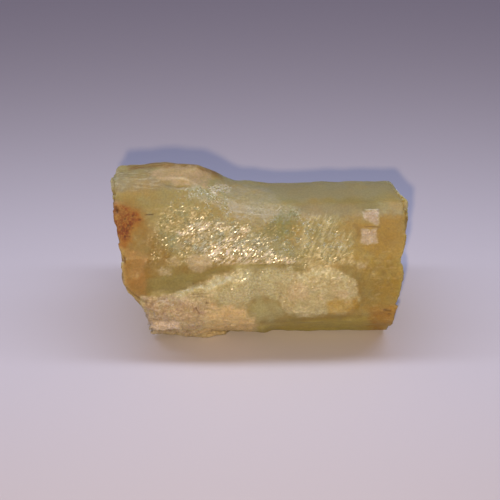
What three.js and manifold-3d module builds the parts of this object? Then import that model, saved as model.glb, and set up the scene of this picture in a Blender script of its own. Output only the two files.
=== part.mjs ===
// Raw heliodor: one broken length of a beryl prism, etched on its faces, lying on a worn edge.
// Both ends are rough breaks, most of the crest is chipped away, and pale feldspar crust is grown
// onto the lower front. Crystal and crust grew together, so the whole piece is one solid.
// Millimetres, +Z up. X runs along the prism and -Y is its front.
// The origin is on the resting plane, below the middle of the bounding box.

import * as THREE from 'three';
import { mergeVertices } from 'three/addons/utils/BufferGeometryUtils.js';
import { ImprovedNoise } from 'three/addons/math/ImprovedNoise.js';
import Module from 'manifold-3d';

const wasm = await Module();
wasm.setup();

// The eight long edges of the prism, each as [x, y, z, softness] where it changes direction.
// They run from the front foot up over the crest and down the back.
// An edge is rounded off over its softness, as a share of the faces beside it.
const LONG_EDGES = [
  // front foot
  [
    [-23, -6.2, 0, 0.05], [-15.5, -6.5, 0, 0.05], [-12.5, -6.7, 0, 0.05], [-9, -6, 0, 0.05],
    [23, -6, 0, 0.05],
  ],
  // low front
  [[-23, -11.9, 7, 0.16], [-6, -12, 6.6, 0.13], [23, -11.6, 6.6, 0.16]],
  // front ridge, crisp only along its middle
  [
    [-23, -11, 14.5, 0.2], [-9, -11, 15.3, 0.14], [-5, -10.9, 15.7, 0.03], [6, -10.6, 15.8, 0.03],
    [23, -10.3, 15.4, 0.14],
  ],
  // crest, front side
  [
    [-23, -2.6, 25, 0.12], [-11, -2.4, 25.4, 0.12], [-5, -3.8, 22.7, 0.16], [1, -4.2, 21.9, 0.2],
    [23, -3.6, 21.8, 0.2],
  ],
  // crest, back side
  [
    [-23, 3.4, 25, 0.1], [-17, 3.4, 25.4, 0.1], [-9.8, 3.4, 25.4, 0.1], [-7.8, 3.8, 24.1, 0.1],
    [-4, 4.4, 21.7, 0.08], [2, 4.8, 20.8, 0.06], [12, 4.8, 21.2, 0.06], [23, 4.6, 21.6, 0.08],
  ],
  // high back
  [[-23, 10.8, 16.6, 0.12], [-8, 11.3, 15.6, 0.1], [23, 11, 14.4, 0.14]],
  // low back
  [[-23, 11.2, 7.2, 0.14], [5, 11.9, 6.4, 0.12], [23, 11.3, 6, 0.14]],
  // back foot
  [[-23, 6.2, 0, 0.05], [23, 6.6, 0, 0.05]],
];
const FACES = LONG_EDGES.length;

// Steps of the surface grid: along the prism, and across a quarter of its girth.
const LENGTH_STEPS = 56;
const QUARTER_STEPS = 14;

// The front, its crust and the breaks are drawn flat on a plane that leans back by this much.
// A place on it is [x, lift], and depth runs into the piece from it.
const LEAN = THREE.MathUtils.degToRad(33);

// The two breaks. Each has its outline as [lift, x], how far it falls back for each millimetre
// of depth, and shell-shaped hollows as [lift, depth, radius, hollow].
const LEFT_BREAK = {
  outline: [
    [-4, -17.2], [-1.3, -17.4], [1.1, -17.6], [1.6, -18.3], [3.1, -20.1], [5.4, -20.8], [7.4, -21],
    [8.2, -20.5], [10.1, -21.2], [15.5, -22.1], [18, -22.4], [21, -22.5], [22.8, -21.6],
  ],
  fallBack: 0.19,
  hollows: [[16, 2, 7.5, 1.4], [5, -1, 6, 1.2]],
  noiseAt: 5,
};
const RIGHT_BREAK = {
  outline: [
    [-3.2, 20.4], [-1.6, 20.7], [0.8, 20.4], [3.1, 21.2], [5.9, 21.5], [8, 21], [10.1, 21.7],
    [14.3, 22.3], [16.9, 22.6], [19.1, 20.9], [20.2, 20.3],
  ],
  fallBack: 0.07,
  hollows: [[12, 2, 8, 1.7], [2, 0, 5.5, 1], [19, -3, 4.5, 0.8]],
  noiseAt: 31,
};
const BREAK_START = -10; // depth from which a break falls back
const BREAK_FADE = 5; // its outline gives way to ledges and hollows this far either side of that
const OUTLINE_SPREAD = 3.5; // how far the outline's corners are spread out behind
const LEDGES = 3; // in each break
const LEDGE_SIZE = 10;
const LEDGE_LEVEL = 0.3; // share of a ledge that is level before it climbs to the next
const LEDGE_RELIEF = 1.5; // height of all of a break's ledges together

const REST_SINK = 0.35; // the worn edge is flat up to here, which makes the resting face

const RIBS_PER_FACE = 2; // broad growth ribs, which run along the prism
const RIB_HEIGHT = 0.07;
const RIB_WANDER = 0.3; // how far a rib strays, as a share of its width
const ETCH_SIZE = 4.2; // shallow hollows that etching left on the faces
const ETCH_DEPTH = 0.26;
const SPINE_HEIGHT = 11; // of the line that the prism's sections are drawn in to

// A smooth trough above the left crust, as [x, lift, half width, depth].
const TROUGH = [
  [-19, 3.6, 1.6, 0.5], [-15, 4.2, 1.7, 0.8], [-12, 4.7, 1.5, 0.8], [-9.3, 5.3, 1.1, 0.7],
  [-6, 6.2, 0.9, 0.55], [-2, 6.8, 0.8, 0.35], [5, 6.7, 0.8, 0.3], [10, 6.8, 0.8, 0],
];

// Pale crust. Each patch has its outline on the leaning plane, the height that it stands out
// by, and the width over which its edge climbs. The last ones are on the back.
const CRUST = [
  {
    rise: 0.8,
    edge: 1.3,
    outline: [
      [-19, 2], [-16.3, 2.1], [-14.4, 2.3], [-12.5, 3.1], [-11.8, 2.9], [-10.4, 3.8], [-7.9, 4.9],
      [-6.5, 5.6], [-3.5, 6.3], [-1.4, 5.6], [-2.2, 3], [-4.4, 1.2], [-7.8, 0.2], [-8.6, -1.5],
      [-8.4, -5], [-19, -5],
    ],
  },
  {
    rise: 0.6,
    edge: 1.1,
    outline: [[-7.9, 0.2], [-4, 0.9], [-1.2, 0.2], [-0.5, -1.8], [-0.9, -3.1], [-7.6, -3]],
  },
  {
    rise: 0.75,
    edge: 1.3,
    outline: [
      [5.2, 5.4], [7.1, 6], [9.3, 6.6], [11.3, 6.7], [12.6, 5.8], [13.8, 5.2], [14.4, 3.9],
      [15, 2.3], [14.6, 0.7], [13.5, -0.4], [10.1, -0.5], [8.8, -0.9], [7, -1], [4, -0.6],
      [2.3, 1.4], [4, 2.9], [4.4, 4],
    ],
  },
  {
    rise: 0.45,
    edge: 1,
    outline: [[-11.7, 8.2], [-9.8, 8.6], [-7.6, 8.1], [-7.8, 6.4], [-9.4, 5.9], [-11.3, 6.6]],
  },
  { rise: 0.35, edge: 0.9, outline: [[-15.9, 6.4], [-13.8, 6.4], [-13.9, 5.5], [-15.7, 5.4]] },
  {
    back: true,
    rise: 0.6,
    edge: 1.3,
    outline: [[1, 15.5], [5, 17], [9, 15.4], [10.4, 12], [7, 10.2], [3, 11.4]],
  },
  {
    back: true,
    rise: 0.5,
    edge: 1.3,
    outline: [[-16, 9.5], [-12, 10.6], [-9, 8.4], [-10, 5.6], [-14.5, 5]],
  },
];
const CRUST_LUMP = 2.4; // size of the lumps on the crust
const CRUST_LUMPINESS = 0.45;

// Cleaved feldspar blocks: [x, lift, length, height, how far it stands out, turn, tip], with the
// last two in degrees.
const BLOCKS = [
  [16.8, 14.5, 2.3, 2.4, 0.3, 4, 0],
  [16.4, 11.3, 2.6, 2.1, 0.3, -6, 0],
  [-14.4, -2.3, 5, 4.6, 0.85, 3, 8],
  [-14.2, 0.9, 4.2, 2.6, 0.95, 9, -12],
  [-11.2, 0.2, 3.4, 3.4, 0.9, -14, 14],
  [-10.4, 2.6, 4.6, 1.9, 0.85, 25, -10],
  [-6.4, 4, 4.4, 1.8, 0.8, 27, 12],
];
const BLOCK_DEPTH = 3;

// Chips off the arrises, each the surface of a large flat ball: [x, y, z of its centre, radii].
const CHIPS = [
  [-21.5, 9.5, 24.5, 6.5, 6.5, 6],
  [14, 13.6, 3.6, 8.5, 5, 5.5],
  [24.8, 11.2, 19.6, 6.5, 6, 5.5],
  [-3, 15, 17.6, 8.5, 5, 5],
];
const CHIP_RIPPLE = 0.025; // height of a chip's ripples, as a share of its radii
const CHIP_RIPPLES = new THREE.Vector3(14, 0, 9); // how closely they follow each other

const noise = new ImprovedNoise();

// Noise in octaves, from about -1 to 1, with features of the given size.
function rough(x, y, z, size, octaves = 3) {
  const apart = 7.3; // between the octaves, so that their zeros don't fall together
  let sum = 0;
  for (let i = 0; i < octaves; i++) {
    const scale = 2 ** i / size;
    sum += noise.noise(x * scale, y * scale + apart * i, z * scale + apart) / 2 ** i;
  }
  return sum;
}

// The value of an outline of [position, value, ...] rows at a position.
function along(outline, position, column = 1) {
  const next = outline.findIndex((row) => row[0] > position);
  if (next === 0) return outline[0][column];
  if (next < 0) return outline.at(-1)[column];
  const [a, b] = [outline[next - 1], outline[next]];
  return THREE.MathUtils.mapLinear(position, a[0], b[0], a[column], b[column]);
}

// Lift and depth of a point (y, z), or the other way round.
function leaning({ x: y, y: z }) {
  return {
    lift: z * Math.cos(LEAN) + y * Math.sin(LEAN),
    depth: y * Math.cos(LEAN) - z * Math.sin(LEAN),
  };
}

// How far [x, lift] is inside an outline, below 0 outside it.
function insideBy(outline, x, lift) {
  const place = new THREE.Vector2(x, lift);
  let nearest = Infinity;
  let inside = false;
  outline.forEach((corner, i) => {
    const a = new THREE.Vector2(...corner);
    const b = new THREE.Vector2(...outline[(i + 1) % outline.length]);
    const side = b.clone().sub(a);
    const share = THREE.MathUtils.clamp(place.clone().sub(a).dot(side) / side.lengthSq(), 0, 1);
    nearest = Math.min(nearest, place.distanceTo(a.clone().addScaledVector(side, share)));
    const crosses = (a.y > lift) !== (b.y > lift);
    if (crosses && x < a.x + (lift - a.y) * side.x / side.y) inside = !inside;
  });
  return inside ? nearest : -nearest;
}

// The point of a long edge at x, as (y, z).
function edgeAt(edge, x) {
  const rows = LONG_EDGES[edge % FACES];
  return new THREE.Vector2(along(rows, x, 1), along(rows, x, 2));
}

// The flat face's point at x, so many faces round from the front foot, as (y, z).
function faceAt(x, round) {
  const turn = (round + FACES) % FACES;
  const face = Math.floor(turn);
  return edgeAt(face, x).lerp(edgeAt(face + 1, x), turn - face);
}

// The same point with the long edges rounded off.
function softFaceAt(x, round) {
  const edge = Math.round(round);
  const softness = along(LONG_EDGES[edge % FACES], x, 3);
  const near = Math.max(0, 1 - Math.abs(round - edge) / (2 * softness));
  const reach = softness * near;
  return faceAt(x, round - reach).add(faceAt(x, round + reach)).multiplyScalar(0.5);
}

// Which way the face there looks, as (y, z).
function facing(x, round) {
  const face = Math.floor(round) % FACES;
  const run = edgeAt(face + 1, x).sub(edgeAt(face, x)).normalize();
  return new THREE.Vector2(-run.y, run.x);
}

// How many faces round from the front foot the front reaches a lift.
function roundAt(x, lift) {
  const lifts = [0, 1, 2, 3, 4].map((edge) => [leaning(edgeAt(edge, x)).lift, edge]);
  return along(lifts, lift);
}

// How many faces round from the front foot a point of the grid's square section lies.
function roundOf(y, z) {
  const quarter = FACES / 4;
  const reach = Math.max(Math.abs(y), Math.abs(z));
  if (reach === 0) return 0;
  if (-y === reach) return quarter * (z / reach + 1) / 2;
  if (z === reach) return quarter * (1 + (y / reach + 1) / 2);
  if (y === reach) return quarter * (2 + (1 - z / reach) / 2);
  return quarter * (3 + (1 - y / reach) / 2) % FACES;
}

function troughDepth(x, lift) {
  if (x < TROUGH[0][0] || x > TROUGH.at(-1)[0]) return 0;
  const off = (lift - along(TROUGH, x, 1)) / along(TROUGH, x, 2);
  return along(TROUGH, x, 3) * Math.exp(-off * off);
}

function crustRise(x, lift, onBack, lump) {
  let rise = 0;
  for (const patch of CRUST) {
    if (Boolean(patch.back) !== onBack) continue;
    const inside = insideBy(patch.outline, x, lift);
    const climb = THREE.MathUtils.smoothstep(inside, -patch.edge / 2, patch.edge / 2);
    rise = Math.max(rise, patch.rise * climb * (1 + CRUST_LUMPINESS * lump));
  }
  return rise;
}

// How far the natural surface stands out of the flat face.
function faceRelief(x, round) {
  const point = faceAt(x, round);
  const { x: y, y: z } = point;
  const { lift } = leaning(point);
  const onBack = round > 4;
  const ribs = RIBS_PER_FACE * round + RIB_WANDER * rough(x, y, z, 2 * ETCH_SIZE, 1);
  const crust = crustRise(x, lift, onBack, rough(x, y, z, CRUST_LUMP, 2));
  const trough = onBack ? 0 : troughDepth(x, lift);
  const grown = RIB_HEIGHT * Math.sin(2 * Math.PI * ribs) + ETCH_DEPTH * rough(x, y, z, ETCH_SIZE);
  return grown + crust - trough;
}

// How far behind a break's outline (0) or into its ledges and hollows (1) a depth is.
function behindOutline(depth) {
  return THREE.MathUtils.smoothstep(depth, BREAK_START - BREAK_FADE, BREAK_START + BREAK_FADE);
}

// Where a break's outline runs. Its corners fade out behind the front.
function breakLine({ outline }, lift, depth) {
  const spread = [-1, -0.5, 0, 0.5, 1].map((step) => along(outline, lift + step * OUTLINE_SPREAD));
  const soft = spread.reduce((sum, x) => sum + x) / spread.length;
  return THREE.MathUtils.lerp(along(outline, lift), soft, behindOutline(depth));
}

// How deep a break is cut behind its outline: it falls back, in ledges and hollows.
function breakDepth({ fallBack, hollows, noiseAt }, lift, depth) {
  const wave = LEDGES * (0.5 + 0.5 * rough(noiseAt, lift, depth, LEDGE_SIZE));
  const ledge = Math.floor(wave) + THREE.MathUtils.smoothstep(wave % 1, LEDGE_LEVEL, 1);
  const shells = hollows.map(([up, back, radius, hollow]) => {
    const share = Math.hypot(lift - up, depth - back) / radius;
    return hollow * Math.max(0, 1 - share * share);
  });
  const relief = LEDGE_RELIEF * ledge / LEDGES + Math.max(...shells);
  return fallBack * Math.max(0, depth - BREAK_START) + relief * behindOutline(depth);
}

// The prism between its two breaks, from a box whose grid is drawn out onto the edges.
function prism() {
  const box = new THREE.BoxGeometry(2, 2, 2, LENGTH_STEPS, QUARTER_STEPS, QUARTER_STEPS);
  const points = box.attributes.position;
  const low = Math.min(...LEFT_BREAK.outline.map((row) => row[1]));
  const high = Math.max(...RIGHT_BREAK.outline.map((row) => row[1]));
  for (let i = 0; i < points.count; i++) {
    const share = (points.getX(i) + 1) / 2;
    const x = THREE.MathUtils.lerp(low, high, share);
    const reach = Math.max(Math.abs(points.getY(i)), Math.abs(points.getZ(i)));
    const round = roundOf(points.getY(i), points.getZ(i));
    const out = facing(x, round);
    const skin = softFaceAt(x, round).addScaledVector(out, faceRelief(x, round));
    const section = new THREE.Vector2(0, SPINE_HEIGHT).lerp(skin, reach);
    const { lift, depth } = leaning(section);
    const left = breakLine(LEFT_BREAK, lift, depth) + breakDepth(LEFT_BREAK, lift, depth);
    const right = breakLine(RIGHT_BREAK, lift, depth) - breakDepth(RIGHT_BREAK, lift, depth);
    points.setXYZ(i, THREE.MathUtils.lerp(left, right, share), section.x, section.y);
  }
  return box;
}

// A cleaved block of feldspar, half sunk in the front.
function feldsparBlock([x, lift, length, height, rise, turn, tip]) {
  const round = roundAt(x, lift);
  const { x: y, y: z } = faceAt(x, round);
  const normal = facing(x, round);
  const out = new THREE.Vector3(0, normal.x, normal.y);
  const lengthwise = new THREE.Vector3(1, 0, 0);
  const onFace = new THREE.Matrix4().makeBasis(lengthwise, out.clone().cross(lengthwise), out);
  const block = new THREE.BoxGeometry(length, height, BLOCK_DEPTH);
  block.rotateX(THREE.MathUtils.degToRad(tip)).rotateZ(THREE.MathUtils.degToRad(turn));
  block.translate(0, 0, rise - BLOCK_DEPTH / 2);
  return block.applyMatrix4(onFace.setPosition(x, y, z));
}

// The ball whose surface a shell-shaped chip leaves, rippled round the point of impact.
function chip([x, y, z, ...radii]) {
  const ball = new THREE.SphereGeometry(1, 26, 18);
  const points = ball.attributes.position;
  const point = new THREE.Vector3();
  for (let i = 0; i < points.count; i++) {
    point.fromBufferAttribute(points, i);
    point.multiplyScalar(1 + CHIP_RIPPLE * Math.sin(point.dot(CHIP_RIPPLES)));
    points.setXYZ(i, x + point.x * radii[0], y + point.y * radii[1], z + point.z * radii[2]);
  }
  return ball;
}

function solidOf(geometry) {
  geometry.deleteAttribute('normal');
  geometry.deleteAttribute('uv');
  const merged = mergeVertices(geometry, 1e-3);
  return new wasm.Manifold(new wasm.Mesh({
    numProp: 3,
    vertProperties: merged.attributes.position.array,
    triVerts: new Uint32Array(merged.index.array),
  }));
}

function geometryOf(solid) {
  const mesh = solid.getMesh();
  return new THREE.BufferGeometry()
    .setAttribute('position', new THREE.BufferAttribute(mesh.vertProperties, mesh.numProp))
    .setIndex(new THREE.BufferAttribute(mesh.triVerts, 1));
}

function heliodorCrystal() {
  let solid = solidOf(prism());
  for (const place of CHIPS) solid = solid.subtract(solidOf(chip(place)));
  for (const place of BLOCKS) solid = solid.add(solidOf(feldsparBlock(place)));
  const ground = new THREE.BoxGeometry(80, 60, 20).translate(0, 0, REST_SINK - 10);
  const geometry = geometryOf(solid.subtract(solidOf(ground)));
  geometry.computeBoundingBox();
  const middle = geometry.boundingBox.getCenter(new THREE.Vector3());
  geometry.translate(-middle.x, -middle.y, -REST_SINK);
  geometry.computeVertexNormals();
  const beryl = new THREE.MeshStandardMaterial({ color: 0xb3a35c, roughness: 0.35, metalness: 0 });
  const crystal = new THREE.Mesh(geometry, beryl);
  crystal.name = 'heliodor_crystal';
  return crystal;
}

const rawHeliodor = new THREE.Group();
rawHeliodor.add(heliodorCrystal());

export default rawHeliodor;
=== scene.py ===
import math

import bmesh
import bpy
import numpy as np
from mathutils import Matrix, Vector, noise


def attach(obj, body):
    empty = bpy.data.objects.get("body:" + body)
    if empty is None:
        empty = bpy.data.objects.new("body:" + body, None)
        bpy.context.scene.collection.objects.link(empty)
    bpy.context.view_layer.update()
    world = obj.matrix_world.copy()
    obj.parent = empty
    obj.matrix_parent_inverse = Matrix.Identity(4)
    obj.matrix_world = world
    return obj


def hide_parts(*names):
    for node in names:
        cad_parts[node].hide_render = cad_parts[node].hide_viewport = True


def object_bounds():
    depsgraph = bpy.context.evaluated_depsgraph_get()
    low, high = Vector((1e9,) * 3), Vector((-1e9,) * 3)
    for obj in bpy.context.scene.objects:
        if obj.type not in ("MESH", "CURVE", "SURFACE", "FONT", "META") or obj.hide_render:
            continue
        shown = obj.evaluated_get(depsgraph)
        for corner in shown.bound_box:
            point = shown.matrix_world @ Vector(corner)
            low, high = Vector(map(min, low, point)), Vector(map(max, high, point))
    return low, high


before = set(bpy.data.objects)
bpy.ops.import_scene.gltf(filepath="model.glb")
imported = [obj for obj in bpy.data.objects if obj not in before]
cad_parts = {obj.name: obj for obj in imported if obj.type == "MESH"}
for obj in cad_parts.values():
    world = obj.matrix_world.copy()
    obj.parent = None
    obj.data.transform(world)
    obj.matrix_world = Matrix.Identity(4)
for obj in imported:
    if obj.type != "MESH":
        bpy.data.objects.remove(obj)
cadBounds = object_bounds()
mm = 0.001

# The photo's view. Its frame is 500 pixels square, x to the right and y down.
photo = {
    "target": (-1.6, 0, 11.2),
    "distance": 260,
    "elevation": 33,
    "lens": 120,
    "sensor": 36,
    "pixels": 500,
}


def linearColour(code):
    # an sRGB hex colour as the linear numbers that sockets take
    shares = [int(code[i : i + 2], 16) / 255 for i in (0, 2, 4)]
    linear = [s / 12.92 if s <= 0.04045 else ((s + 0.055) / 1.055) ** 2.4 for s in shares]
    return (*linear, 1)


def addNode(tree, kind, settings=None, links=None):
    # settings are the node's own, links are its sockets: a value, or another node's output
    node = tree.nodes.new(kind)
    for name, value in (settings or {}).items():
        setattr(node, name, value)
    for name, value in (links or {}).items():
        socket = node.inputs[name]
        if isinstance(value, bpy.types.NodeSocket):
            tree.links.new(value, socket)
        else:
            socket.default_value = value
    return node


def newMaterial(name):
    material = bpy.data.materials.new(name)
    material.use_nodes = True
    material.node_tree.nodes.clear()
    return material


def smoothStep(value, low, high):
    share = np.clip((value - low) / (high - low), 0, 1)
    return share * share * (3 - 2 * share)


def cameraPlace():
    tilt = math.radians(photo["elevation"])
    back = Vector((0, -math.cos(tilt), math.sin(tilt)))
    return Vector(photo["target"]) + photo["distance"] * back


print("camera and lights")


def addCamera():
    lens = bpy.data.cameras.new("photoCamera")
    lens.lens = photo["lens"]
    lens.sensor_width = photo["sensor"]
    camera = bpy.data.objects.new("photoCamera", lens)
    bpy.context.scene.collection.objects.link(camera)
    look = Vector(photo["target"]) - cameraPlace()
    turn = look.to_track_quat("-Z", "Y")
    camera.matrix_world = Matrix.LocRotScale(cameraPlace() * mm, turn, None)
    bpy.context.scene.camera = camera


studio = {
    # a cool strip above the front and a small warm lamp beside the camera, as the two shadows say
    "lights": [
        # place, aims at, width, height, watts, colour
        ((-3, 6, 82), (-3, -20, 0), 220, 14, 0.086, "E2E8FF"),
        ((-9, -235, 146), (0, 0, 10), 6, 6, 0.52, "FFDFB0"),
    ],
    "ambient": ("AAA9DC", 0.3),
    "floor": "C9C6CC",
    "floorRoughness": 0.55,
    "floorHalf": 600,
    "floorDrop": 0.05,  # keeps the floor clear of the resting face
}


def addLights():
    for place, aim, width, height, watts, colour in studio["lights"]:
        lamp = bpy.data.lights.new("studioLamp", "AREA")
        lamp.shape = "RECTANGLE"
        lamp.size = width * mm
        lamp.size_y = height * mm
        lamp.energy = watts
        lamp.color = linearColour(colour)[:3]
        holder = bpy.data.objects.new("studioLamp", lamp)
        holder.visible_camera = False
        bpy.context.scene.collection.objects.link(holder)
        turn = (Vector(aim) - Vector(place)).to_track_quat("-Z", "Y")
        holder.matrix_world = Matrix.LocRotScale(Vector(place) * mm, turn, None)
    world = bpy.data.worlds.new("paleRoom")
    world.use_nodes = True
    background = world.node_tree.nodes["Background"]
    code, strength = studio["ambient"]
    background.inputs["Color"].default_value = linearColour(code)
    background.inputs["Strength"].default_value = strength
    bpy.context.scene.world = world
    bpy.context.scene.view_settings.view_transform = "Standard"


def paleBoard():
    # matt painted board: plain, with the faintest sheen
    material = newMaterial("mattPaintedBoard")
    tree = material.node_tree
    shader = addNode(tree, "ShaderNodeBsdfPrincipled", links={
        "Base Color": linearColour(studio["floor"]),
        "Roughness": studio["floorRoughness"],
        "Specular IOR Level": 0.3,
    })
    addNode(tree, "ShaderNodeOutputMaterial", links={"Surface": shader.outputs["BSDF"]})
    return material


def addFloor():
    mesh = bpy.data.meshes.new("floor")
    form = bmesh.new()
    bmesh.ops.create_grid(form, x_segments=1, y_segments=1, size=studio["floorHalf"] * mm)
    bmesh.ops.translate(form, vec=(0, 0, -studio["floorDrop"] * mm), verts=form.verts)
    form.to_mesh(mesh)
    form.free()
    mesh.materials.append(paleBoard())
    floor = bpy.data.objects.new("floor", mesh)
    bpy.context.scene.collection.objects.link(floor)


addCamera()
addLights()
addFloor()


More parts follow.
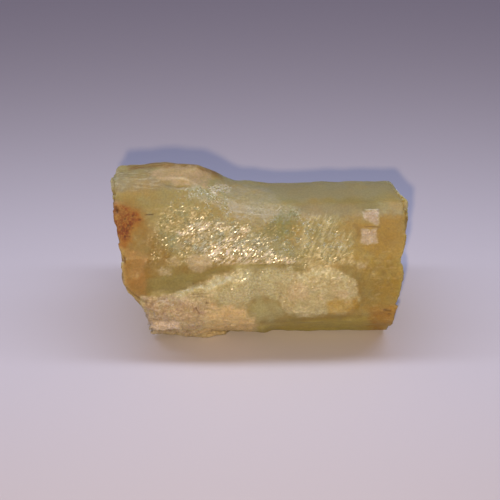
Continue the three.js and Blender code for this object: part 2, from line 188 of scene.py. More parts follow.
# Zones traced on the photo, as outlines in its pixels. fade is the width over which an edge dies
# away and wander how far it strays, in pixels, in waves of size mm. through is the share that
# still shows on the hidden side, for stain that goes into the stone.
zones = {
    "rust": {
        "outline": [
            (110, 202), (122, 204), (132, 207), (141, 212), (144, 219), (138, 226), (134, 233),
            (131, 240), (125, 247), (112, 247),
        ],
        "fade": 8, "wander": 4, "size": 1.4, "through": 0.6,
    },
    "rustCore": {
        "outline": [
            (112, 208), (124, 210), (136, 213), (139, 219), (132, 226), (130, 236), (124, 240),
            (112, 238),
        ],
        "fade": 7, "wander": 4, "size": 0.9, "through": 0.5,
    },
    "amberLeft": {
        "outline": [
            (110, 200), (130, 200), (148, 212), (154, 230), (164, 246), (178, 256), (168, 266),
            (150, 272), (146, 284), (147, 298), (136, 304), (110, 300),
        ],
        "fade": 16, "wander": 5, "size": 2.2, "through": 0.8,
    },
    "tanLeft": {
        "outline": [
            (112, 247), (124, 249), (134, 248), (143, 252), (148, 260), (143, 270), (147, 284),
            (146, 300), (132, 304), (112, 300),
        ],
        "fade": 6, "wander": 3, "size": 1.4, "through": 0.7,
    },
    "pinkCrest": {
        "outline": [
            (150, 173), (158, 168), (176, 166), (196, 167), (210, 173), (212, 179), (205, 188),
            (192, 184), (180, 185), (166, 181), (154, 177),
        ],
        "fade": 4, "wander": 3, "size": 0.9, "through": 0,
    },
    "rimBand": {
        "outline": [
            (122, 158), (200, 158), (214, 166), (224, 180), (208, 174), (194, 168.5), (160, 168),
            (128, 170),
        ],
        "fade": 4, "wander": 1, "size": 2, "through": 0.4,
    },
    "striae": {
        "outline": [(110, 170), (150, 168), (174, 177), (180, 188), (150, 191), (110, 192)],
        "fade": 6, "wander": 2, "size": 2, "through": 0,
    },
    "frost": {
        "outline": [
            (166, 204), (176, 194), (200, 185), (228, 183), (250, 186), (272, 192), (290, 203),
            (304, 211), (334, 219), (352, 230), (358, 248), (350, 264), (300, 266), (250, 264),
            (215, 268), (180, 266), (150, 262), (146, 248), (154, 232),
        ],
        "fade": 18, "wander": 9, "size": 1.6, "through": 0,
    },
    # the etched face shines most here: paler real etch, with a painted sheen of pale brushed dashes
    # over it
    "brightPaintedSheen": {
        "outline": [
            (178, 236), (196, 224), (236, 222), (258, 232), (276, 246), (292, 262), (250, 263),
            (215, 263), (196, 256), (178, 248),
        ],
        "fade": 20, "wander": 8, "size": 1.4, "through": 0,
    },
    # the glint streaks: etch facets that really glint, and also carry a near-white painted highlight
    "glintStreakHigh": {
        "outline": [(176, 232), (204, 222), (230, 224), (228, 229), (204, 230), (186, 236)],
        "fade": 5, "wander": 3, "size": 0.9, "through": 0,
    },
    "glintStreakLow": {
        "outline": [(204, 252), (246, 225), (250, 229), (226, 246), (262, 250), (292, 261), (210, 262)],
        "fade": 6, "wander": 4, "size": 0.9, "through": 0,
    },
    "glintStreakCrest": {
        "outline": [(206, 187), (220, 183), (233, 187), (229, 193), (212, 193)],
        "fade": 5, "wander": 3, "size": 0.9, "through": 0,
    },
    "glintStreakRidge": {
        "outline": [(222, 259.6), (262, 260), (296, 261), (296, 263.6), (262, 263.6), (222, 263.4)],
        "fade": 2.4, "wander": 1.2, "size": 1.2, "through": 0,
    },
    "veil": {
        "outline": [
            (224, 186), (248, 186), (262, 188), (275, 195), (283, 205), (280, 212), (272, 219),
            (266, 226), (255, 228), (240, 222), (228, 208),
        ],
        "fade": 5, "wander": 2.5, "size": 0.9, "through": 0,
    },
    "glassyGap": {
        "outline": [(262, 224), (276, 214), (292, 208), (300, 216), (292, 234), (280, 238), (268, 236)],
        "fade": 9, "wander": 4, "size": 1.1, "through": 0,
    },
    "darkTop": {
        "outline": [
            (218, 180), (245, 178), (400, 174), (402, 190), (372, 196), (330, 198), (300, 202),
            (286, 200), (266, 188), (245, 184),
        ],
        "fade": 12, "wander": 5, "size": 2.4, "through": 0.3,
    },
    "smoothUnder": {
        "outline": [(290, 200), (330, 198), (376, 196), (378, 210), (360, 216), (330, 216), (300, 212)],
        "fade": 12, "wander": 3, "size": 3, "through": 0,
    },
    "orangeRight": {
        "outline": [
            (379, 214), (416, 212), (416, 256), (386, 258), (370, 253), (361, 247), (357, 238),
            (357, 227), (366, 225), (379, 226),
        ],
        "fade": 10, "wander": 6, "size": 1.4, "through": 0.8,
    },
    "brownRight": {
        "outline": [
            (352, 244), (370, 252), (416, 250), (416, 336), (362, 336), (360, 312), (366, 292),
            (362, 272), (352, 258),
        ],
        "fade": 20, "wander": 6, "size": 1.8, "through": 0.8,
    },
    "rustCorner": {
        "outline": [(368, 310), (386, 304), (410, 304), (410, 334), (372, 334)],
        "fade": 10, "wander": 3.5, "size": 1.4, "through": 0.6,
    },
    "window": {
        "outline": [
            (248, 302), (260, 298), (274, 300), (282, 308), (286, 316), (272, 323), (258, 322),
            (250, 313),
        ],
        "fade": 15, "wander": 4, "size": 1.4, "through": 0,
    },
    "trough": {
        "outline": [
            (146, 279), (166, 276), (186, 274), (204, 271), (222, 266), (244, 263), (280, 264),
            (280, 267), (244, 268), (226, 271), (206, 279), (188, 286), (176, 291), (160, 296),
            (146, 297),
        ],
        "fade": 4, "wander": 1, "size": 2, "through": 0,
    },
    # frost under the ridge: really pale, and lightened further as painted light over the ridge's shadow
    "lowFrostAndPaintedLight": {
        "outline": [
            (226, 274), (250, 267), (292, 268), (298, 276), (293, 290), (285, 301), (268, 297),
            (252, 299), (243, 309), (226, 309), (214, 298),
        ],
        "fade": 8, "wander": 4, "size": 1.2, "through": 0,
    },
    "bandLow": {
        "outline": [(252, 325), (270, 324), (300, 322), (340, 319), (366, 317), (370, 340), (250, 340)],
        "fade": 7, "wander": 2, "size": 2, "through": 0.6,
    },
    "crustLeft": {
        "outline": [
            (140, 296.5), (155, 296.4), (167.4, 295), (173.3, 293.4), (178.3, 290.4), (184.4, 290),
            (189.4, 285.6), (197, 283), (205.5, 280.4), (217.5, 275.3), (233.6, 270.3), (241, 268.6),
            (240, 274), (231, 282), (222, 290), (216, 298), (214, 306), (210, 342), (140, 342),
        ],
        "fade": 2.6, "wander": 1.6, "size": 0.8, "through": 0,
    },
    "crustTan": {
        "outline": [
            (212, 304), (228, 303), (244, 309), (255, 318), (256, 326), (252, 342), (198, 342),
            (206, 322),
        ],
        "fade": 11, "wander": 6, "size": 1.3, "through": 0,
    },
    "crustPink": {
        "outline": [(140, 298), (176, 294), (196, 298), (211, 306), (206, 320), (198, 342), (140, 342)],
        "fade": 12, "wander": 6, "size": 1.3, "through": 0,
    },
    "paleBlock": {
        "outline": [(149, 322), (179, 321.5), (179.5, 328.5), (164, 330), (152, 330)],
        "fade": 4, "wander": 1.6, "size": 0.8, "through": 0,
    },
    "crustRight": {
        "outline": [
            (297, 274), (307, 271), (321.4, 266.5), (333, 267), (341, 273), (353, 278),
            (358, 287), (359, 295), (356.5, 305), (349, 312.5), (338.8, 313.5), (327.6, 313.5),
            (314, 316.5), (302, 317), (290, 314.5), (283, 308), (278, 301), (287, 294),
            (289, 285),
        ],
        "fade": 4, "wander": 2.6, "size": 0.9, "through": 0,
    },
    "paleKnot": {
        "outline": [(288, 286), (298, 283), (308, 286), (310, 296), (302, 301), (290, 300)],
        "fade": 5, "wander": 2, "size": 0.9, "through": 0,
    },
    "amberBlob": {
        "outline": [(326, 303), (336, 299), (349, 300), (358, 298), (357, 307), (349, 313), (330, 314)],
        "fade": 5, "wander": 2.5, "size": 0.9, "through": 0,
    },
    "oval": {
        "outline": [(336, 294), (340, 290), (346, 290), (349, 294), (346, 299), (339, 299)],
        "fade": 2, "wander": 0.6, "size": 0.8, "through": 0,
    },
    "patchOne": {
        "outline": [
            (185, 259), (192, 255), (204, 255.5), (211, 259), (211, 266), (203, 271.5), (193, 272),
            (187, 266),
        ],
        "fade": 4, "wander": 2, "size": 0.7, "through": 0,
    },
    "patchTwo": {
        "outline": [(156, 270), (163, 267.8), (171, 269), (170.5, 274.5), (160, 275.4)],
        "fade": 3, "wander": 1.4, "size": 0.7, "through": 0,
    },
    "patchThree": {
        "outline": [(168, 260), (174, 257.5), (180, 259), (179, 265), (171, 265)],
        "fade": 4, "wander": 1.4, "size": 0.7, "through": 0,
    },
    "squareHigh": {
        "outline": [
            (364, 212.5), (368, 209.6), (378.6, 210), (378.4, 222), (377, 225), (374, 224), (368, 221),
            (364, 219),
        ],
        "fade": 2.4, "wander": 1.3, "size": 0.7, "through": 0,
    },
    "squareLow": {
        "outline": [(362, 230), (376, 229.4), (376, 235), (377.3, 243), (368, 244), (360, 242)],
        "fade": 2.4, "wander": 1.3, "size": 0.7, "through": 0,
    },
    "feather": {
        "outline": [(298, 262), (300, 236), (310, 214), (332, 214), (352, 228), (354, 262)],
        "fade": 10, "wander": 4, "size": 1.6, "through": 0,
    },
    "calmSquares": {
        "outline": [(357, 204), (385, 204), (385, 250), (355, 250)],
        "fade": 5, "wander": 0, "size": 1, "through": 0,
    },
    "calmTop": {
        "outline": [
            (212, 182), (284, 184), (330, 184), (388, 182), (420, 186), (420, 230), (300, 226),
            (262, 216), (224, 204),
        ],
        "fade": 22, "wander": 0, "size": 1, "through": 0,
    },
    "calmCrest": {
        "outline": [(104, 176), (180, 179), (216, 186), (216, 200), (180, 199), (104, 203)],
        "fade": 10, "wander": 0, "size": 1, "through": 0,
    },
    "calmRight": {
        "outline": [(284, 266), (340, 264), (364, 280), (362, 314), (300, 320), (276, 302)],
        "fade": 8, "wander": 0, "size": 1, "through": 0,
    },
    "calmWindow": {
        "outline": [(238, 290), (262, 284), (292, 288), (296, 320), (270, 328), (244, 322)],
        "fade": 14, "wander": 0, "size": 1, "through": 0,
    },
    "calmTrough": {
        "outline": [
            (140, 272), (186, 268), (222, 262), (246, 262), (226, 273), (206, 281), (186, 289),
            (160, 298), (140, 298),
        ],
        "fade": 8, "wander": 0, "size": 1, "through": 0,
    },
    "calmRidge": {
        "outline": [(284, 256), (352, 256), (352, 276), (284, 276)],
        "fade": 10, "wander": 0, "size": 1, "through": 0,
    },
    "calmLow": {
        "outline": [(142, 292), (190, 288), (216, 296), (260, 312), (262, 333), (140, 333)],
        "fade": 8, "wander": 0, "size": 1, "through": 0,
    },
    "palePatch": {
        "outline": [(356, 265), (361, 262.5), (367, 264), (366, 268), (359, 268.5)],
        "fade": 3.5, "wander": 1.2, "size": 0.6, "through": 0,
    },
}

# Zones where the photo shows no ledge, and how far the solid's ledges are rounded off there.
calmShares = {
    "calmSquares": 1,
    "calmTop": 0.9,
    "calmCrest": 0.8,
    "calmRight": 0.6,
    "calmWindow": 0.9,
    "calmTrough": 0.5,
    "calmRidge": 0.7,
    "calmLow": 0.85,
}

# Thin marks on the photo: each is a line through points in pixels, with its half width in
# pixels, how deep it is cut in mm and how dark it is. A speck is a line of one point.
# Most are cracks and specks; the lines under the pale block and under the flake are painted shadow.
marks = [
    ([(146, 214.3), (153, 214.3)], 0.7, 0.1, 0.8),
    ([(196, 308), (197.5, 311), (199.5, 314)], 0.8, 0.25, 0.45),
    ([(190, 294.5), (208, 293.5)], 0.6, 0.12, 0.35),
    ([(186, 297.5), (206, 296.5)], 0.6, 0.12, 0.3),
    ([(250, 265.8), (272, 265), (298, 265.6)], 0.9, 0.06, 0.15),
    ([(115.5, 207), (117, 211.5)], 1.4, 0.3, 0.7),
    ([(123.5, 257), (124.6, 263)], 1.1, 0.3, 0.6),
    ([(126, 288), (133, 294), (140, 299), (146, 303)], 1.0, 0.2, 0.5),
    ([(212, 331), (230, 332), (243, 331)], 1.0, 0.25, 0.5),
    # painted shadow under the pale block
    ([(150, 330.6), (165, 331), (179, 329.6)], 0.7, 0.15, 0.3),
    ([(150, 320.6), (166, 321.2), (179, 320.4)], 0.6, 0.1, 0.2),
    ([(160, 305), (163, 312), (161, 318)], 0.6, 0.12, 0.22),
    ([(174, 300), (178, 307), (176, 314)], 0.6, 0.1, 0.18),
    ([(205, 309), (216, 311), (222, 309)], 0.7, 0.12, 0.2),
    # painted shadow under the flake
    ([(164, 331.5), (180, 332.5)], 0.7, 0.25, 0.4),
    ([(365, 226.5), (380, 227)], 0.6, 0.1, 0.3),
    ([(355, 226), (359, 229), (358.5, 235)], 2.6, 0, 0.25),
    ([(164, 184.6), (176, 187.6), (190, 187)], 0.9, 0.08, 0.18),
    ([(262, 321.5), (290, 320.5), (330, 318.5), (360, 316.5)], 1.8, 0, 0.2),
    ([(384, 310), (390, 311)], 1.0, 0.12, 0.6),
    ([(388, 314), (391, 314.5)], 0.7, 0.12, 0.5),
    ([(139.6, 219.7)], 1.1, 0.15, 0.9),
    ([(128.7, 225.7)], 1.1, 0.15, 0.9),
    ([(124.8, 236.5)], 1.0, 0.15, 0.8),
    ([(129.7, 237)], 0.8, 0.15, 0.7),
    ([(187, 240)], 0.8, 0.15, 0.7),
    ([(193, 284)], 0.8, 0.15, 0.8),
    ([(207, 303)], 1.0, 0.15, 0.9),
    ([(187, 331)], 0.8, 0.15, 0.7),
    ([(125, 219)], 1.0, 0.15, 0.8),
    ([(133, 228)], 0.8, 0.15, 0.7),
    ([(122, 229)], 1.0, 0.15, 0.8),
    ([(133, 216)], 0.9, 0.15, 0.6),
    ([(127, 231)], 0.9, 0.15, 0.6),
]

# Crust on the hidden back, as outlines in mm: along the prism, and up the plane that faces the
# photo's camera.
backPatches = [
    [(1, 15.2), (5, 16.7), (9, 15.1), (10.4, 11.7), (7, 9.9), (3, 11.1)],
    [(-16, 9.2), (-12, 10.3), (-9, 8.1), (-10, 5.3), (-14.5, 4.7)],
]


def photoSpots(points):
    # where points in mm fall in the photo
    tilt = math.radians(photo["elevation"])
    look = np.array((0, math.cos(tilt), -math.sin(tilt)))
    up = np.array((0, math.sin(tilt), math.cos(tilt)))
    away = points - np.array(cameraPlace())
    scale = photo["pixels"] * photo["lens"] / photo["sensor"] / (away @ look)
    middle = photo["pixels"] / 2
    return np.stack((middle + scale * away[:, 0], middle - scale * (away @ up)), 1)


def distanceTo(spots, start, end):
    side = np.array(end, float) - start
    along = np.clip((spots - start) @ side / max(side @ side, 1e-9), 0, 1)
    return np.linalg.norm(spots - start - along[:, None] * side, axis=1)


def insideBy(spots, outline):
    # how far inside an outline each spot is, below 0 outside it
    nearest = np.full(len(spots), 1e9)
    inside = np.zeros(len(spots), bool)
    x, y = spots.T
    for start, end in zip(outline, outline[1:] + outline[:1]):
        nearest = np.minimum(nearest, distanceTo(spots, start, end))
        crosses = (start[1] > y) != (end[1] > y)
        rise = (end[1] - start[1]) or 1e-9
        inside ^= crosses & (x < start[0] + (y - start[1]) * (end[0] - start[0]) / rise)
    return np.where(inside, nearest, -nearest)


def grain(points, size, octaves, shift):
    # noise from about -1 to 1, with features of that size in mm; size may differ along x, y, z
    places = (points / np.array(size) + shift).tolist()
    return np.array([noise.fractal(place, 1, 2, octaves) for place in places])


def patches(points, size, shift, low, high):
    # soft patches of that size in mm: 0 where the noise is below low, 1 where it is above high
    return smoothStep(grain(points, size, 3, shift), low, high)


def facets(points, size, shift):
    # flat grains of that size, each tipped its own way, from about -1 to 1
    heights = []
    for place in (points / size + shift).tolist():
        seed = noise.voronoi(place)[1][0]
        heights.append((Vector(place) - seed).dot(noise.cell_vector(seed * 17.3)))
    return np.array(heights)


def most(*shares):
    # the largest share at each point
    return np.max(shares, axis=0)


stone = {
    "voxel": 0.23,
    "restClear": 0.5,  # height above the resting face at which the relief is whole
    "etchDirection": 35,  # degrees; the etched ridges climb to the right on the photo
    "wornRounds": 30,  # of averaging, which finds the arrises about 1 mm across
    "calmRounds": 150,  # of averaging, which rounds off the ledges where the photo shows none
    "stainReach": 6,  # how far stain creeps in from the breaks on the hidden side
    # how far each kind of relief goes in or out, in mm
    "etchRidge": 0.03,
    "etchHillock": 0.008,
    "veilCloud": 0.06,
    "crustGranule": 0.1,
    "pinkBlock": 0.16,
    "striation": 0.03,
    "growthLine": 0.015,
    "hackleFacet": 0.3,
    "hackleGrain": 0.18,
    "softSwell": 0.035,
}


def evenMesh():
    # a merged copy of the solid, meshed evenly so that fine relief can be cut in it
    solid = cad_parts["heliodor_crystal"]
    form = bmesh.new()
    form.from_mesh(solid.data)
    bmesh.ops.remove_doubles(form, verts=form.verts, dist=0.001 * mm)
    mesh = bpy.data.meshes.new("heliodorStone")
    form.to_mesh(mesh)
    form.free()
    draft = bpy.data.objects.new("draft", mesh)
    bpy.context.scene.collection.objects.link(draft)
    remesh = draft.modifiers.new("evenMesh", "REMESH")
    remesh.mode = "VOXEL"
    remesh.voxel_size = stone["voxel"] * mm
    remesh.use_smooth_shade = True
    graph = bpy.context.evaluated_depsgraph_get()
    even = bpy.data.meshes.new_from_object(draft.evaluated_get(graph))
    bpy.data.objects.remove(draft)
    bpy.data.meshes.remove(mesh)
    even.name = "heliodorStone"
    return even


def readVectors(mesh, name):
    values = np.empty(len(mesh.vertices) * 3)
    mesh.vertices.foreach_get(name, values)
    return values.reshape(-1, 3)


def movePoints(mesh, points):
    mesh.vertices.foreach_set("co", (points * mm).ravel())
    mesh.update()


def averaged(mesh, values, rounds):
    # each point's values drawn halfway to the mean of its neighbours', again and again
    ends = np.empty(len(mesh.edges) * 2, np.int32)
    mesh.edges.foreach_get("vertices", ends)
    a, b = ends.reshape(-1, 2).T
    count = np.bincount(a, minlength=len(values)) + np.bincount(b, minlength=len(values))
    for _ in range(rounds):
        columns = []
        for column in values.T:
            near = np.bincount(a, column[b], len(values)) + np.bincount(b, column[a], len(values))
            columns.append((column + near / count) / 2)
        values = np.stack(columns, 1)
    return values


def zoneMask(name, points, spots, front):
    zone = zones[name]
    shift = 3.1 * list(zones).index(name)
    wander = zone["wander"] * grain(points, zone["size"], 3, shift)
    inside = insideBy(spots, zone["outline"]) + wander
    share = smoothStep(inside, -zone["fade"] / 2, zone["fade"] / 2)
    return share * (zone["through"] + (1 - zone["through"]) * front)


def calmLedges(mesh):
    # rounds off the solid's ledges where the photo shows none
    points = readVectors(mesh, "co") / mm
    normals = readVectors(mesh, "normal")
    spots = photoSpots(points)
    facing = (0.4 * normals[:, 2] > normals[:, 1]).astype(float)
    calm = most(*[much * zoneMask(name, points, spots, facing) for name, much in calmShares.items()])
    points += calm[:, None] * (averaged(mesh, points, stone["calmRounds"]) - points)
    movePoints(mesh, points)


def hiddenSide(points, lift, back, ends):
    # stain creeps in from the breaks, frost lies in patches of 3 to 7 mm, and crust where traced
    fromEnd = cadBounds[1][0] / mm - np.abs(points[:, 0])
    stain = back * smoothStep(stone["stainReach"] - fromEnd + 4 * grain(points, 4, 3, 40), -3, 4)
    stain *= 0.35 + 0.65 * patches(points, 5, 44, -0.25, 0.3)
    stain *= 1 - 0.7 * ends * patches(points, 4, 48, -0.2, 0.2)
    frost = back * patches(points, (7, 4, 4), 60, 0, 0.35)
    frost = most(frost, 0.8 * ends * patches(points, 3, 66, 0.05, 0.4))
    flat = np.stack((points[:, 0], lift), 1)
    crust = np.zeros(len(points))
    for outline in backPatches:
        inside = insideBy(flat, outline) + 0.35 * grain(points, 1.2, 3, 50)
        crust = most(crust, smoothStep(inside, -0.3, 0.3) * back)
    return stain, frost, crust


def thinMarks(spots, front):
    # how dark the thin marks are at each point, and how deep they are cut in mm: cracks and specks, and
    # two lines of painted shadow
    dark = np.zeros(len(spots))
    deep = np.zeros(len(spots))
    for line, half, depth, shade in marks:
        ends = line if len(line) > 1 else line * 2
        near = np.min([distanceTo(spots, a, b) for a, b in zip(ends, ends[1:])], axis=0)
        share = front * (1 - smoothStep(near, 0.4 * half, 1.5 * half))
        dark = most(dark, shade * share)
        deep = most(deep, depth * share)
    return dark, deep


def reliefHeights(points, lift, zone):
    # how far out each point goes, in mm, by the finish of its zone
    turn = math.radians(stone["etchDirection"])
    turned = np.stack((
        points[:, 0] * math.cos(turn) + lift * math.sin(turn),
        -points[:, 0] * math.sin(turn) + lift * math.cos(turn),
        points[:, 1],
    ), 1)
    bare = 1 - zone["crust"]
    plain = bare * (1 - zone["frost"])

    ridges = stone["etchRidge"] * (1 - 2.4 * np.abs(grain(turned, (3.6, 1.1, 2), 2, 5)))
    heights = zone["frost"] * (ridges + stone["etchHillock"] * grain(points, 0.85, 2, 9))
    heights += zone["veil"] * stone["veilCloud"] * grain(points, 1, 3, 12)
    granules = stone["crustGranule"] * (facets(points, 0.7, 2.7) + grain(points, 0.6, 3, 15))
    blocks = stone["pinkBlock"] * facets(points, 1.5, 8.3)
    granules += zone["crustPink"] * (0.7 * granules + blocks)
    heights += zone["crust"] * (1 - 0.75 * zone["square"]) * granules
    heights += zone["striae"] * stone["striation"] * grain(points, (5, 0.4, 0.4), 2, 33)
    growth = stone["growthLine"] * grain(points, (9, 0.6, 0.6), 2, 21)
    heights += (1 - zone["ends"]) * plain * (1 - 0.7 * zone["smooth"]) * growth
    hackle = stone["hackleFacet"] * facets(points, 3, 6.1)
    hackle += stone["hackleGrain"] * grain(points, 1.4, 4, 25)
    heights += zone["ends"] * bare * hackle
    heights += (1 - zone["smooth"]) * plain * stone["softSwell"] * grain(points, 1.6, 3, 30)
    return heights


def shapeStone(mesh):
    # cuts the relief, and returns each zone's share at each point for the material
    calmLedges(mesh)
    points = readVectors(mesh, "co") / mm
    normals = readVectors(mesh, "normal")
    spots = photoSpots(points)
    toCamera = np.array(cameraPlace()) - points
    toCamera /= np.linalg.norm(toCamera, axis=1)[:, None]
    front = smoothStep(np.sum(normals * toCamera, axis=1), -0.12, 0.12)
    ends = smoothStep(np.abs(normals[:, 0]), 0.55, 0.85)
    bulge = np.sum((points - averaged(mesh, points, stone["wornRounds"])) * normals, axis=1)
    tilt = math.radians(photo["elevation"])
    # lift is the height up the plane that faces the photo's camera
    lift = points[:, 2] * math.cos(tilt) + points[:, 1] * math.sin(tilt)
    # m holds each traced zone's mask, from 0 outside it to 1 inside, at each point
    m = {name: zoneMask(name, points, spots, front) for name in zones if name not in calmShares}
    stain, backFrost, backCrust = hiddenSide(points, lift, 1 - front, ends)
    dark, deep = thinMarks(spots, front)

    square = most(m["squareHigh"], m["squareLow"])
    small = most(m["patchOne"], 0.8 * m["patchTwo"], 0.7 * m["patchThree"], 0.6 * m["palePatch"])
    crust = most(m["crustLeft"], m["crustTan"], m["crustRight"], small, square, backCrust)
    clean = 1 - crust
    smooth = most(m["darkTop"], m["trough"], m["smoothUnder"], m["bandLow"], m["window"]) * clean
    frost = most(m["frost"], m["lowFrostAndPaintedLight"], 0.7 * backFrost)
    frost *= 0.45 + 0.55 * patches(points, 1.1, 70, -0.35, 0.3)
    frost *= (1 - 0.85 * m["darkTop"]) * (1 - 0.5 * m["veil"]) * (1 - m["trough"]) * clean
    specked = patches(points, 0.9, 75, 0.1, 0.5) * (1 - smooth) * clean
    frost = most(frost, specked * (0.35 + 0.3 * m["brownRight"]))
    # the glint streaks get a painted highlight in their colour as well as their real glints
    streak = most(m["glintStreakHigh"], m["glintStreakLow"], m["glintStreakRidge"], 0.7 * m["glintStreakCrest"])
    unworn = most(m["darkTop"], m["smoothUnder"], m["orangeRight"], m["brownRight"])

    finish = {**m, "crust": crust, "square": square, "frost": frost, "smooth": smooth, "ends": ends}
    heights = reliefHeights(points, lift, finish) - deep
    heights *= smoothStep(points[:, 2], 0.02, stone["restClear"])
    points += heights[:, None] * normals
    points[:, 2] = np.maximum(points[:, 2], 0)
    movePoints(mesh, points)

    return {
        "crust": crust * (0.75 + 0.25 * patches(points, 1.4, 80, -0.3, 0.2)),
        "crustPink": m["crustPink"] * crust,
        "crustTan": m["crustTan"] * crust,
        "pale": most(m["paleBlock"], square, 0.6 * small),
        # the pale block, lightened past its own tone as painted light over its shade
        "blockAndPaintedLight": m["paleBlock"] * crust,
        "knot": most(m["paleKnot"], m["oval"]) * crust,
        "amber": most(m["amberLeft"], m["orangeRight"], 0.8 * stain) * clean,
        "orange": m["orangeRight"] * clean,
        "amberBlob": m["amberBlob"] * (1 - m["oval"]),
        "tan": m["tanLeft"] * clean,
        "brown": most(m["brownRight"], 0.3 * stain) * clean,
        "rust": most(m["rust"], 0.65 * m["rustCorner"]) * clean,
        "rustCore": m["rustCore"] * clean,
        "pinkCrest": m["pinkCrest"],
        "rimBand": m["rimBand"],
        "striae": m["striae"],
        "frost": frost,
        "lowFrostAndPaintedLight": m["lowFrostAndPaintedLight"] * clean,
        # where the etched face shines most, which also gets a painted sheen
        "brightPaintedSheen": m["brightPaintedSheen"] * frost,
        # painted highlight along the glint streaks
        "streak": streak * clean,
        "veil": m["veil"],
        "feather": m["feather"] * clean,
        "glassy": m["glassyGap"] * (1 - 0.5 * m["veil"]),
        "smooth": smooth,
        "darkTop": m["darkTop"],
        "bandLow": m["bandLow"] * clean,
        "window": m["window"] * clean,
        "trough": m["trough"] * clean,
        "worn": smoothStep(bulge, 0.03, 0.14) * (1 - 0.8 * unworn),
        # painted shade: the concave places darkened
        "hollowShade": smoothStep(-bulge, 0.02, 0.1),
        "dark": dark,
    }


def paintStone(mesh, shares):
    for name, share in shares.items():
        layer = mesh.attributes.new(name, "FLOAT", "POINT")
        layer.data.foreach_set("value", np.clip(share, 0, 1).astype(np.float32))


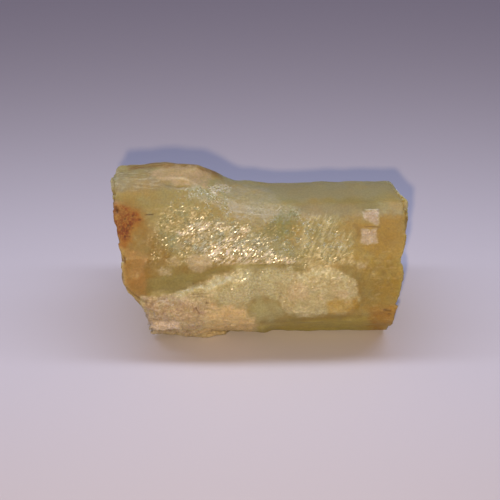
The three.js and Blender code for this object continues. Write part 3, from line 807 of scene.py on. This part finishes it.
beryl = {
    "patterns": {
        # feature in mm, detail, where the noise is read in m, how many times longer than wide,
        # climb to the right in degrees, and the noise that gives 0 and the noise that gives 1
        "coarse": (5, 2, 0, 1, 0, 0.35, 0.65),
        "cloud": (1.5, 3, 0.01, 1, 0, 0.38, 0.62),
        "fine": (0.4, 2, 0.02, 1, 0, 0.38, 0.62),
        "grit": (0.3, 2, 0.06, 1, 0, 0.35, 0.65),
        "brushed": (0.32, 2, 0.03, 3.5, 35, 0.44, 0.57),
        "feathered": (0.4, 2, 0.035, 5, 61, 0.44, 0.62),
        "combed": (0.3, 3, 0.08, 5, 0, 0.5, 0.66),
        "combedDark": (0.3, 3, 0.09, 6, 0, 0.52, 0.68),
        "mottle": (0.8, 3, 0.05, 1, 0, 0.45, 0.65),
        "streaky": (0.5, 3, 0.07, 2.5, 0, 0.52, 0.68),
    },
    "yellow": "AD9348",
    "green": "A29658",
    "layers": [
        # painted zone, colour, share, how much the cloud breaks it up, a pattern and its share
        ("darkTop", "B6B08F", 0.7, 0.3, None, 0),
        ("smooth", "8C7F37", 0.5, 0.3, None, 0),
        ("trough", "C3BE76", 0.65, 0.35, "fine", 0.15),
        ("bandLow", "D8CC66", 0.6, 0.3, None, 0),
        ("bandLow", "6A5B2A", 0.25, 0, "combedDark", 1),
        ("striae", "807959", 0.6, 0.5, "fine", 0.2),
        ("striae", "DDD2AC", 0.4, 0.5, "combed", 1),
        ("striae", "7C7047", 0.25, 0.5, "combedDark", 1),
        ("frost", "A6AB86", 0.8, 0.35, "fine", 0.5),
        # painted sheen: pale brushed dashes where the etched face shines most, over its paler real etch
        ("brightPaintedSheen", "D9E8DC", 0.6, 0.3, "brushed", 0.8),
        # painted highlight: near-white glints laid into the colour along the streaks
        ("streak", "FFF4D8", 0.85, 0.2, "brushed", 0.85),
        ("glassy", "9EA35A", 0.65, 0.35, "fine", 0.3),
        ("veil", "B6AD86", 0.75, 0.3, "fine", 0.4),
        ("feather", "DBD09C", 0.75, 0.45, "feathered", 1),
        # pale frost under the ridge, lightened as painted light over the shadow the ridge casts
        ("lowFrostAndPaintedLight", "E9E9C0", 0.7, 0.3, "fine", 0.3),
        ("window", "F4FFCD", 0.38, 0.3, None, 0),
        ("amber", "946E05", 0.8, 0.35, "fine", 0.15),
        ("orange", "BB9D46", 0.6, 0.3, "fine", 0.3),
        ("brown", "B9A040", 0.7, 0.5, "fine", 0.15),
        ("brown", "8A6C2C", 0.25, 0, "mottle", 1),
        ("brown", "D2BE84", 0.35, 0, "streaky", 1),
        ("tan", "BF985A", 0.6, 0.3, "fine", 0.15),
        ("rimBand", "855E26", 0.8, 0.4, None, 0),
        ("pinkCrest", "C3A97C", 0.9, 0.35, "fine", 0.35),
        ("crust", "CECFA8", 0.85, 0.2, "fine", 0.2),
        ("crustPink", "AB897A", 0.7, 0.5, "fine", 0.2),
        ("crustTan", "E1C085", 0.75, 0.4, "fine", 0.15),
        ("crust", "97825A", 0.3, 0, "mottle", 1),
        ("crust", "EBDDBB", 0.4, 0, "streaky", 1),
        ("pale", "A9917A", 0.75, 0.15, "fine", 0.1),
        # the pale block: real pale crust, lightened further as painted light over its shade
        ("blockAndPaintedLight", "F6E9D4", 0.75, 0.4, "fine", 0.35),
        ("knot", "CDBB98", 0.6, 0.2, "fine", 0.15),
        ("amberBlob", "B59317", 0.8, 0.35, "fine", 0.15),
        ("worn", "E0D2A6", 0.3, 0.6, "fine", 0.4),
        # painted shade in the hollows
        ("hollowShade", "8A7634", 0.3, 0.5, None, 0),
        ("rust", "8E4B03", 0.85, 0.4, "fine", 0.25),
        ("rustCore", "6A2A04", 0.9, 0.4, "fine", 0.8),
        # the thin marks: cracks and specks, and two lines of painted shadow
        ("dark", "2E1A0C", 0.9, 0, None, 0),
    ],
    "grit": ("5E5126", 0.22),
    # painted shade: the pits between the etch facets are darkened cell by cell, more where the face
    # shines most
    "pitShade": "685A28",
    "pitShadeShare": (0.3, {"brightPaintedSheen": 0.75}),
    # each socket's value over most of the stone, and what it becomes in some zones
    "Transmission Weight": (0.22, {
        "frost": 0.1, "smooth": 0.3, "glassy": 0.35, "crust": 0, "rust": 0, "dark": 0,
    }),
    "Roughness": (0.46, {
        "amber": 0.6, "brown": 0.6, "striae": 0.55, "frost": 0.22, "streak": 0.17, "smooth": 0.5,
        "glassy": 0.38, "crust": 0.3, "rust": 0.7,
    }),
    "Subsurface Weight": (0.85, {"frost": 0.6, "crust": 0.4, "rust": 0.2}),
    # Etch facets. Real ones go down to a few hundredths of a millimetre, and these are drawn as
    # coarse as they need to be to show. They follow the direction of the etched ridges.
    "facetSize": 0.125,
    "facetLength": 2.2,  # times their width
    # how far facets tip the surface, and what that becomes in some zones
    "frostTip": (0.6, {"brightPaintedSheen": 0.58}),
    "crustTip": (0.55, {"crustPink": 0.9}),
    "streakTip": 0.4,
    "facetLean": (0, -0.15, -0.15),  # shared by the facets where the etched face shines most
    "crustLean": (0, 0, 0.25),  # shared by the cleaved faces of the pinkish crust
    "bumpSize": 0.35,
    "bumpDepth": 0.06,
    "bumpStrength": 0.6,
}


def laidCoordinates(tree, length, turn, offset=0.0):
    # coordinates for grains that lie in the upper face, which leans back 45 degrees: they are
    # that many times longer than wide and climb to the right by turn degrees
    lean = Matrix.Rotation(math.radians(-45), 3, "X") @ Matrix.Rotation(math.radians(-turn), 3, "Y")
    return addNode(tree, "ShaderNodeMapping", {"vector_type": "TEXTURE"}, {
        "Vector": addNode(tree, "ShaderNodeTexCoord").outputs["Object"],
        "Location": (offset, offset, offset),
        "Rotation": lean.to_euler("XYZ"),
        "Scale": (length, 1, 1),
    }).outputs["Vector"]


def cloudyNoise(tree, size, detail, offset, length=1, turn=0):
    # noise from 0 to 1 with features of that size in mm
    return addNode(tree, "ShaderNodeTexNoise", links={
        "Vector": laidCoordinates(tree, length, turn, offset),
        "Scale": 1 / (size * mm), "Detail": detail, "Roughness": 0.6,
    }).outputs["Fac"]


def byZone(tree, painted, value, changes):
    # a number that becomes another in some of the painted zones
    for zone, changed in changes.items():
        value = addNode(tree, "ShaderNodeMix", {"data_type": "FLOAT"},
                        {0: painted[zone], 2: value, 3: changed}).outputs[0]
    return value


def berylColour(tree, painted, cellShade):
    patterns = {}
    for name, (size, detail, offset, length, turn, low, high) in beryl["patterns"].items():
        patterns[name] = addNode(tree, "ShaderNodeMapRange", {"interpolation_type": "SMOOTHSTEP"}, {
            "Value": cloudyNoise(tree, size, detail, offset, length, turn),
            "From Min": low, "From Max": high,
        }).outputs["Result"]
    amounts = [(patterns["coarse"], beryl["green"])]
    for zone, code, share, cloudy, pattern, much in beryl["layers"]:
        amount = addNode(tree, "ShaderNodeMath", {"operation": "MULTIPLY"},
                         {0: painted[zone], 1: share}).outputs[0]
        for name, part in (("cloud", cloudy), (pattern, much)):
            if part:
                broken = addNode(tree, "ShaderNodeMath", {"operation": "MULTIPLY_ADD"},
                                 {0: patterns[name], 1: part, 2: 1 - part}).outputs[0]
                amount = addNode(tree, "ShaderNodeMath", {"operation": "MULTIPLY"},
                                 {0: amount, 1: broken}).outputs[0]
        amounts.append((amount, code))

    # no part is one even tone: a grit of 0.3 mm runs over all of it, and painted shade darkens the pits
    # of the frost
    code, share = beryl["grit"]
    grit = addNode(tree, "ShaderNodeMath", {"operation": "MULTIPLY"},
                   {0: patterns["grit"], 1: share})
    amounts.append((grit.outputs[0], code))
    pitShading = addNode(tree, "ShaderNodeMapRange", {"interpolation_type": "SMOOTHSTEP"},
                     {"Value": cellShade, "From Min": 0.3, "From Max": 1})
    pitShading = addNode(tree, "ShaderNodeMath", {"operation": "MULTIPLY"},
                     {0: pitShading.outputs["Result"], 1: painted["frost"]})
    pitShading = addNode(tree, "ShaderNodeMath", {"operation": "MULTIPLY"},
                     {0: pitShading.outputs[0], 1: byZone(tree, painted, *beryl["pitShadeShare"])})
    amounts.append((pitShading.outputs[0], beryl["pitShade"]))

    colour = linearColour(beryl["yellow"])
    for amount, code in amounts:
        colour = addNode(tree, "ShaderNodeMix", {"data_type": "RGBA"},
                         {0: amount, 6: colour, 7: linearColour(code)}).outputs[2]
    return colour


def facetNormal(tree, painted, cells):
    # each etch facet tips the surface its own way, so that the lamp glints in some of them
    tip = addNode(tree, "ShaderNodeVectorMath", {"operation": "SUBTRACT"},
                  {0: cells, 1: (0.5, 0.5, 0.5)})
    spread = addNode(tree, "ShaderNodeMath", {"operation": "MULTIPLY"}, {
        0: painted["frost"], 1: byZone(tree, painted, *beryl["frostTip"]),
    }).outputs[0]
    crustTip = byZone(tree, painted, *beryl["crustTip"])
    spread = byZone(tree, painted, spread, {"streak": beryl["streakTip"], "crust": crustTip})
    shine = addNode(tree, "ShaderNodeMath", {"operation": "MAXIMUM"},
                    {0: painted["brightPaintedSheen"], 1: painted["streak"]}).outputs[0]
    normal = addNode(tree, "ShaderNodeNewGeometry").outputs["Normal"]
    for direction, share in [(tip.outputs[0], spread), (beryl["facetLean"], shine),
                             (beryl["crustLean"], painted["crustPink"])]:
        leaning = addNode(tree, "ShaderNodeVectorMath", {"operation": "SCALE"},
                          {0: direction, "Scale": share}).outputs[0]
        normal = addNode(tree, "ShaderNodeVectorMath", {"operation": "ADD"},
                         {0: normal, 1: leaning}).outputs[0]
    facet = addNode(tree, "ShaderNodeVectorMath", {"operation": "NORMALIZE"}, {0: normal}).outputs[0]
    # a soft bump lies everywhere but in the frost
    frosted = addNode(tree, "ShaderNodeMapRange", {"interpolation_type": "SMOOTHSTEP"}, {
        "Value": painted["frost"], "From Min": 0, "From Max": 0.3,
        "To Min": beryl["bumpStrength"], "To Max": 0,
    }).outputs["Result"]
    return addNode(tree, "ShaderNodeBump", links={
        "Strength": frosted, "Distance": beryl["bumpDepth"] * mm,
        "Height": cloudyNoise(tree, beryl["bumpSize"], 3, 0.04), "Normal": facet,
    }).outputs["Normal"]


def etchedBeryl(mesh):
    # Yellow beryl, etched in the ground: cloudy and waxy inside, with a skin of fine pits and
    # facets that glint. The feldspar crust on it is opaque, and iron stains the breaks. Its colour
    # also holds painted light: highlights along the glint streaks, a sheen where the etched face
    # shines most, shade in the pits, the hollows and two thin lines, and light lifted into the
    # shadowed frost under the ridge and onto the pale block.
    material = newMaterial("etchedCloudyBeryl")
    tree = material.node_tree
    painted = {}  # each zone's share, from 0 to 1, as it is stored on the mesh
    for layer in mesh.attributes:
        if layer.data_type == "FLOAT":
            zone = addNode(tree, "ShaderNodeAttribute", {"attribute_name": layer.name})
            painted[layer.name] = zone.outputs["Fac"]
    cells = addNode(tree, "ShaderNodeTexVoronoi", links={
        "Vector": laidCoordinates(tree, beryl["facetLength"], stone["etchDirection"]),
        "Scale": 1 / (beryl["facetSize"] * mm),
    }).outputs["Color"]
    cellShade = addNode(tree, "ShaderNodeSeparateColor", links={"Color": cells}).outputs["Green"]
    finishes = {
        socket: byZone(tree, painted, *beryl[socket])
        for socket in ("Transmission Weight", "Roughness", "Subsurface Weight")
    }
    shader = addNode(tree, "ShaderNodeBsdfPrincipled", {"subsurface_method": "RANDOM_WALK"}, {
        "Base Color": berylColour(tree, painted, cellShade),
        "Normal": facetNormal(tree, painted, cells),
        "IOR": 1.575,
        "Specular IOR Level": 0.32,
        "Subsurface Radius": (1.0, 0.8, 0.4),
        "Subsurface Scale": 5 * mm,
        **finishes,
    })
    absorption = addNode(tree, "ShaderNodeVolumeAbsorption", links={
        "Color": linearColour("E0D6A0"), "Density": 50,
    })
    addNode(tree, "ShaderNodeOutputMaterial", links={
        "Surface": shader.outputs["BSDF"], "Volume": absorption.outputs["Volume"],
    })
    return material


print("stone mesh")
stoneMesh = evenMesh()
print("stone relief and zones,", len(stoneMesh.polygons), "faces")
paintStone(stoneMesh, shapeStone(stoneMesh))
print("stone material")
stoneMesh.materials.clear()
stoneMesh.materials.append(etchedBeryl(stoneMesh))
heliodorStone = bpy.data.objects.new("heliodorStone", stoneMesh)
bpy.context.scene.collection.objects.link(heliodorStone)
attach(heliodorStone, "root")
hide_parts("heliodor_crystal")

print("done")
